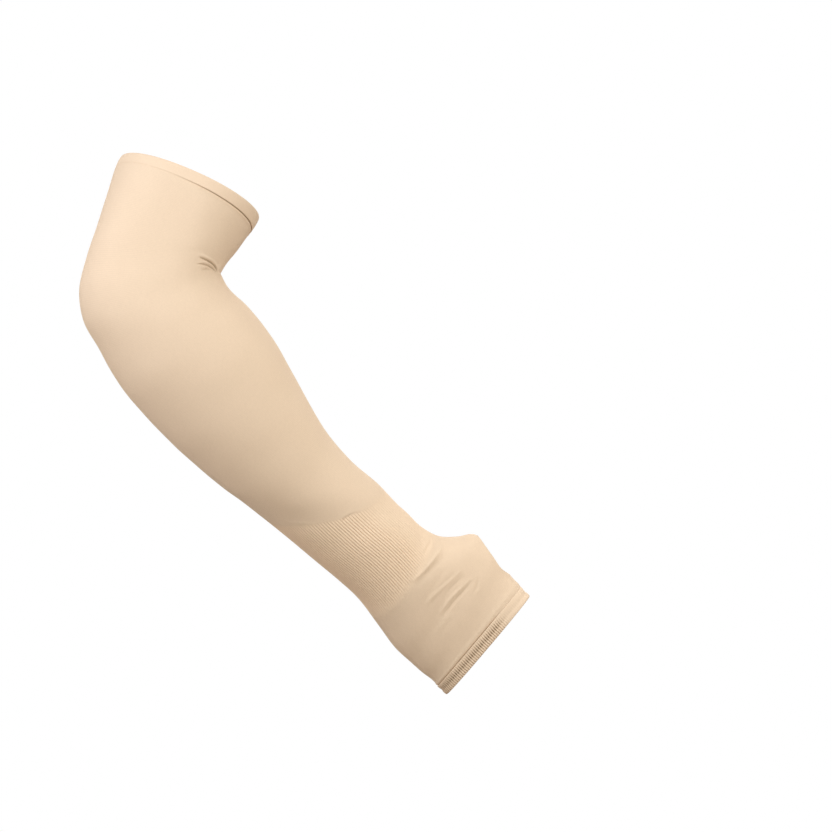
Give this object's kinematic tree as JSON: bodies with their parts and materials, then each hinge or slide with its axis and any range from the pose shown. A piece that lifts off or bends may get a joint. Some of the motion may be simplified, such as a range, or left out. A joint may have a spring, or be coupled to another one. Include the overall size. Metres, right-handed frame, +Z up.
{
  "type": "arm sleeve",
  "caption": "Long knitted arm sleeve in its worn, bent form: banded upper rim, plain tube, fine ribbed wrist, hand piece with a thumb opening and a ribbed palm edge.",
  "frame": {"origin": "centre of the upper arm opening, where the arm holds the sleeve up", "axes": "+Z up along the upper arm towards the shoulder, +X forward towards the hand in the plane of the bent elbow, +Y towards the palm side of the forearm, away from the back of the hand"},
  "size_m": [0.3602, 0.113, 0.2443],
  "materials": {
    "knit_jersey": "beige plain jersey knit, matt",
    "knit_rib": "beige fine ribbed knit, matt",
    "knit_band": "beige doubled knit band, matt"
  },
  "bodies": {
    "root": {"upper_welt": "knit_band", "arm_tube": "knit_jersey", "wrist_rib": "knit_rib", "hand_mitt": "knit_jersey", "palm_hem": "knit_band"}
  },
  "joints": []
}
